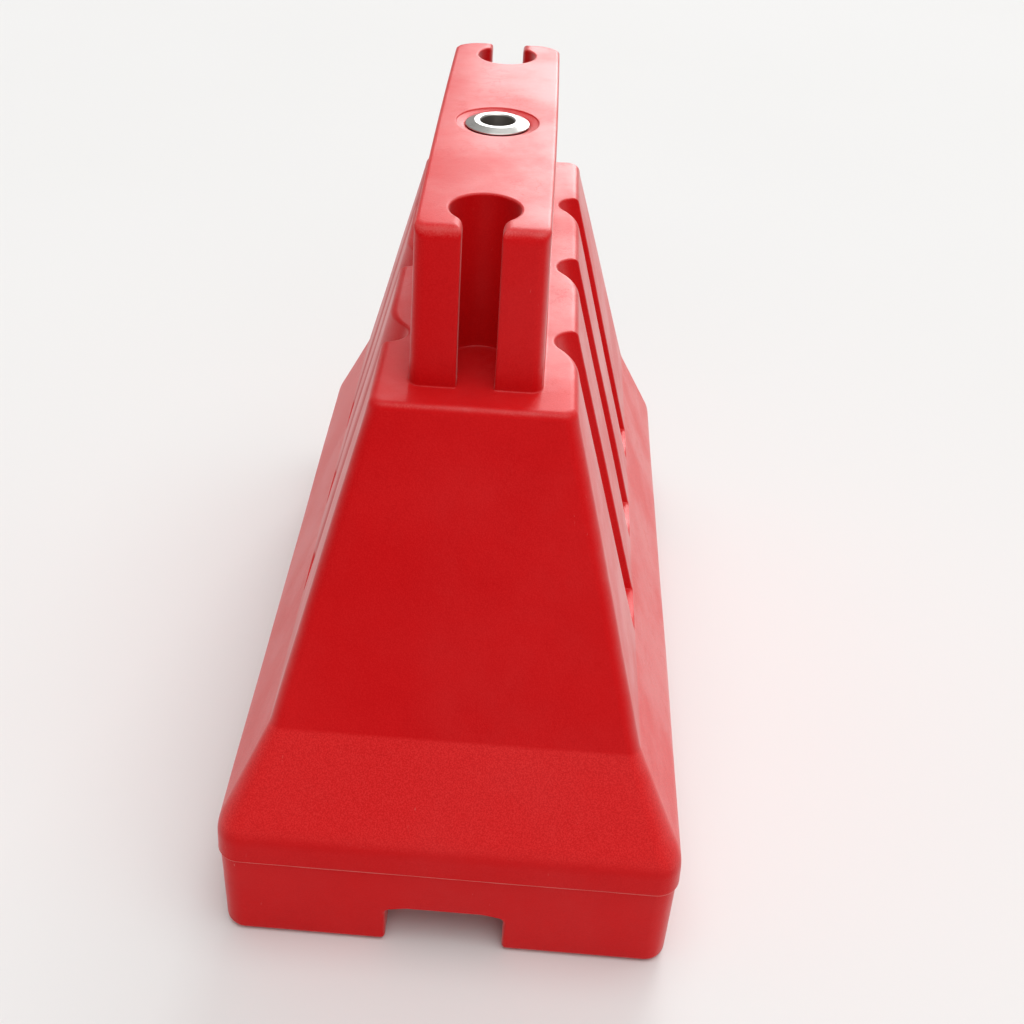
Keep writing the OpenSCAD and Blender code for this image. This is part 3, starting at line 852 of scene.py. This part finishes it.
def moulded_red(name, deep, pale, chalk_and_painted_light):
    """Rotomoulded polyethylene: cloudy pigment, a fine powder grain, faint orange peel, chalky rubbed edges,
    thin creases and a few hairline scratches. The rubbed-edge chalk also paints a highlight, a thin pale line
    along the rail's foot. The shoulder shelf is painted a brighter red, painted light for the light it
    catches, and is dustier, partly with real dust and partly with more of that painted light. A soft bloom
    coats the faces that look sideways or up."""
    f = Finish(name)
    _, y, height = f.parts(f.where)
    cloud = f.noise(4.5, 4.0, 0.6)
    bloom = f.step(f.noise(7.0, 5.0, 0.62), 0.36, 0.66)
    speckle = f.noise(520, 2.0, 0.6)
    grain = f.noise(620, 3.0, 0.6)
    peel = f.noise(70, 3.0, 0.5)
    patch = f.noise(16, 5.0, 0.65)
    # Chalk on rubbed edges from the wear value, and along the rail's foot a painted highlight line from the
    # same value.
    rub_and_painted_highlight = f.step(f.carried("wear") * 0.5 + patch * 0.8 + grain * 0.35, 0.88, 1.35)
    # Shoulder band from 150 to 280 mm high, where light is painted in: a brighter red and paler chalk for the
    # light the shelf catches, with some real dust.
    painted_lit_dusty_shoulder = f.step(height, 0.150, 0.166) * f.step(height, 0.2795, 0.2735)
    crease = f.step(f.math("ABSOLUTE", f.noise(34, 6.0, 0.65) - 0.5), 0.03, 0.0) * f.step(patch, 0.48, 0.6)
    along = f.noise(1.0, 3.0, 0.5, f.stretched((9, 260, 90), (0, 0, 0.5)))
    across = f.noise(1.0, 3.0, 0.5, f.stretched((230, 12, 80), (0, 0, -0.35)))
    sparse = f.step(f.noise(6.0, 3.0, 0.6), 0.54, 0.66)
    hairline = (f.step(along, 0.7, 0.76) + f.step(across, 0.71, 0.77)) * sparse
    pits = f.step(grain, 0.56, 0.40) * (painted_lit_dusty_shoulder * 0.14 + 0.10)
    # Dust everywhere. Its extra share on the shoulder band is partly real dust and partly painted light.
    dust = f.step(grain, 0.42, 0.70) * (painted_lit_dusty_shoulder * 0.035 + 0.012)
    tint = f.blend(f.step(cloud, 0.3, 0.75), deep, pale)
    # Painted light: the shoulder band is tinted a brighter red to show the extra light it catches.
    tint = f.blend(painted_lit_dusty_shoulder * 0.8, tint, paint(0.80, 0.009, 0.011))
    tint = f.blend(pits + crease * 0.05, tint, paint(0.36, 0.002, 0.003))
    # Chalk for dust, plus a little more over the shoulder band as painted light.
    tint = f.blend(dust + painted_lit_dusty_shoulder * 0.02, tint, chalk_and_painted_light)
    tint = f.blend(rub_and_painted_highlight * 0.22 + hairline * 0.3, tint, chalk_and_painted_light)
    rough = 0.40 + cloud * 0.08 + speckle * 0.06 + rub_and_painted_highlight * 0.12
    coat = (bloom * 0.6 + 0.4) * (1 - f.step(y, 0.005, 0.065) * 0.5) * (1 - crease * 0.3)
    coat = coat * (f.step(f.carried("turned_off"), 0.45, 0.9) * 0.85 + 0.15)
    normal = f.bump(grain, 0.0004, 0.5, f.bump(peel - crease * 0.15, 0.0007, 0.35))
    return f.shade({
        "Base Color": tint, "Roughness": rough, "Normal": normal,
        "IOR": 1.5, "Specular IOR Level": 0.15, "Specular Tint": paint(1, 0.25, 0.25),
        "Sheen Weight": 0.16, "Sheen Roughness": 0.35, "Sheen Tint": paint(1, 0.8, 0.78),
        "Coat Weight": coat, "Coat Roughness": 0.42, "Coat IOR": 1.6})


def turned_steel(name):
    """Satin steel: fine tool rings about the upright axis, and a browner, darker and rougher tint down the
    bore.
    """
    f = Finish(name)
    x, y, _ = f.parts(f.where)
    radius = f.math("SQRT", x * x + y * y)
    sockets = {"W": radius, "Scale": 2600, "Detail": 2.0}
    rings = f.node("ShaderNodeTexNoise", {"noise_dimensions": "1D"}, sockets)
    cloud = f.noise(60, 4.0, 0.6)
    deep = f.step(radius, 0.0196, 0.0186)
    tint = f.blend(cloud, paint(0.50, 0.49, 0.47), paint(0.66, 0.65, 0.62))
    tint = f.blend(deep * (0.35 + cloud * 0.4), tint, paint(0.40, 0.31, 0.26))
    rough = 0.2 + rings * 0.12 + cloud * 0.08 + deep * 0.2
    return f.shade({"Base Color": tint, "Metallic": 1.0, "Roughness": rough,
                    "Normal": f.bump(rings, 0.00004, 0.5)})


def plain_steel(name):
    """Zinc-bright steel of the fixings inside the tank."""
    f = Finish(name)
    cloud = f.noise(90, 4.0, 0.6)
    streak = f.noise(1.0, 3.0, 0.5, f.stretched((60, 60, 900)))
    tint = f.blend(cloud, paint(0.42, 0.43, 0.44), paint(0.62, 0.62, 0.6))
    return f.shade({"Base Color": tint, "Metallic": 1.0, "Roughness": 0.3 + streak * 0.2,
                    "Normal": f.bump(streak, 0.00005, 0.4)})


def soft_rubber(name):
    """Matt black rubber with a bloom of grey dust."""
    f = Finish(name)
    dust = f.noise(240, 4.0, 0.6)
    tint = f.blend(f.step(dust, 0.45, 0.8) * 0.6, paint(0.012, 0.012, 0.013), paint(0.06, 0.058, 0.055))
    return f.shade({"Base Color": tint, "Roughness": 0.72 + dust * 0.2, "Normal": f.bump(dust, 0.0001, 0.5)})


def filled_nylon(name, dark, light):
    """Glass-filled nylon: short pale flecks in a dark ground, with a dull moulded face."""
    f = Finish(name)
    fleck = f.noise(1.0, 2.0, 0.5, f.stretched((1500, 420, 900), (0.4, 0.2, 0.7)))
    cloud = f.noise(70, 3.0, 0.5)
    grain = f.noise(1300, 1.0, 0.5)
    tint = f.blend(f.step(fleck, 0.6, 0.75) * 0.5 + cloud * 0.25, dark, light)
    return f.shade({"Base Color": tint, "Roughness": 0.42 + cloud * 0.16,
                    "Normal": f.bump(grain, 0.00008, 0.5)})


def studio_floor(name):
    """Pale seamless floor with the least mottling."""
    f = Finish(name)
    cloud = f.noise(0.8, 3.0, 0.5)
    tint = f.blend(cloud, paint(0.785, 0.78, 0.77), paint(0.805, 0.80, 0.795))
    return f.shade({"Base Color": tint, "Roughness": 0.85, "Specular IOR Level": 0.1})


# ---- studio ----


def lay_floor(material):
    """A wide round floor in metres, far larger than the object and just clear of its foot."""
    mesh = bpy.data.meshes.new("studio_floor")
    circle = ring_at(60)[:, :2]
    points = np.column_stack([circle, np.full(len(circle), -0.0004)])
    mesh.from_pydata(points.tolist(), [], [list(range(len(points)))])
    mesh.materials.append(material)
    made = bpy.data.objects.new("studio_floor", mesh)
    bpy.context.scene.collection.objects.link(made)


def soft_sun(name, toward, strength, spread, tint=(1, 1, 1)):
    """A broad distant light that shines along toward."""
    lamp = bpy.data.lights.new(name, "SUN")
    lamp.energy, lamp.angle, lamp.color = strength, math.radians(spread), tint
    made = bpy.data.objects.new(name, lamp)
    made.rotation_mode = "QUATERNION"
    made.rotation_quaternion = Vector(toward).to_track_quat("-Z", "Y")
    bpy.context.scene.collection.objects.link(made)


def light_studio():
    """A pale room, brighter overhead and to the +X and -Y sides, and three broad lights.

    The room's strength is 0.21 + 0.2 x - 0.14 y + 0.25 z along each direction and never under 0.07, but the
    camera itself sees an even 0.905.
    """
    world = bpy.data.worlds.new("white_room")
    bpy.context.scene.world = world
    world.use_nodes = True
    tree = world.node_tree
    tree.nodes.clear()
    where = tree.nodes.new("ShaderNodeTexCoord")
    split = tree.nodes.new("ShaderNodeSeparateXYZ")
    tree.links.new(where.outputs["Generated"], split.inputs[0])

    def term(operation, *values):
        made = tree.nodes.new("ShaderNodeMath")
        made.operation = operation
        for i, value in enumerate(values):
            if isinstance(value, (int, float)):
                made.inputs[i].default_value = value
            else:
                tree.links.new(value, made.inputs[i])
        return made.outputs[0]

    x, y, z = split.outputs
    sides = term("ADD", term("MULTIPLY", x, 0.20), term("MULTIPLY", y, -0.14))
    sloping = term("ADD", sides, term("MULTIPLY", z, 0.25))
    room = term("MAXIMUM", term("ADD", sloping, 0.21), 0.07)
    seen = tree.nodes.new("ShaderNodeLightPath").outputs["Is Camera Ray"]
    unseen = term("SUBTRACT", 1.0, seen)
    strength = term("ADD", term("MULTIPLY", room, unseen), term("MULTIPLY", seen, 0.905))
    back = tree.nodes.new("ShaderNodeBackground")
    back.inputs["Color"].default_value = (1.0, 0.995, 0.985, 1)
    tree.links.new(strength, back.inputs["Strength"])
    out = tree.nodes.new("ShaderNodeOutputWorld")
    tree.links.new(back.outputs[0], out.inputs[0])

    soft_sun("back_right", (-0.89, 0.17, -0.42), 1.4, 30)
    soft_sun("overhead", (0.14, 0.12, -0.98), 1.62, 60)
    soft_sun("front", (0.85, 0.05, -0.45), 0.42, 50)
    bpy.context.scene.view_settings.view_transform = "Standard"


def set_camera():
    """Stands off the -X end, looking down along the barrier, and leans a little to one side."""
    yaw, pitch, roll = -0.0586, -0.6005, 0.0350
    ahead = Vector((math.cos(yaw) * math.cos(pitch), -math.sin(yaw) * math.cos(pitch), math.sin(pitch)))
    right = Vector((-math.sin(yaw), -math.cos(yaw), 0))
    up = right.cross(ahead)
    tilted = right * math.cos(roll) + up * math.sin(roll)
    lens = bpy.data.cameras.new("camera")
    lens.sensor_width, lens.lens = 36, 36 * 1.3687
    lens.shift_x, lens.shift_y = 0.0633, -0.0213
    lens.clip_start, lens.clip_end = 0.05, 200
    made = bpy.data.objects.new("camera", lens)
    made.matrix_world = Matrix.Translation((-1.5279, -0.0476, 1.3423)) @ Matrix(
        (tilted, tilted.cross(-ahead) * -1, -ahead)).transposed().to_4x4()
    bpy.context.scene.collection.objects.link(made)
    bpy.context.scene.camera = made


def dress(material, *nodes):
    """Gives CAD nodes a finish in every material slot."""
    for node in nodes:
        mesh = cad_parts[node].data
        if not mesh.materials:
            mesh.materials.append(material)
        for i in range(len(mesh.materials)):
            mesh.materials[i] = material


set_camera()
light_studio()
lay_floor(studio_floor("studio_floor"))

red = moulded_red("barrier_red", deep=paint(0.65, 0.003, 0.005), pale=paint(0.70, 0.005, 0.007),
                  chalk_and_painted_light=paint(0.84, 0.34, 0.31))
# The seam's bead is painted a pale pink red: a painted highlight for the shine along the trimmed seam.
highlight_painted_bead = moulded_red("seam_bead_painted_highlight", deep=paint(0.72, 0.10, 0.09), pale=paint(0.8, 0.2, 0.18),
                    chalk_and_painted_light=paint(0.88, 0.56, 0.52))
steel = turned_steel("turned_steel")
fixing = plain_steel("bright_steel")
rubber = soft_rubber("soft_rubber")
nylon = filled_nylon("dark_nylon", paint(0.03, 0.032, 0.035), paint(0.12, 0.122, 0.125))
plug_nylon = filled_nylon("plug_nylon", paint(0.018, 0.019, 0.021), paint(0.08, 0.081, 0.084))

upper_shell(red)
base_shell(red)
seam_bead(highlight_painted_bead)
filler_collar(steel)
drain_bush(nylon)
drain_plug(plug_nylon)
dress(rubber, "filler_gasket", "drain_bush_gasket", "drain_plug_seal")
dress(fixing, "filler_backing_washer", "filler_locknut")
dress(nylon, "drain_backing_washer", "drain_locknut")
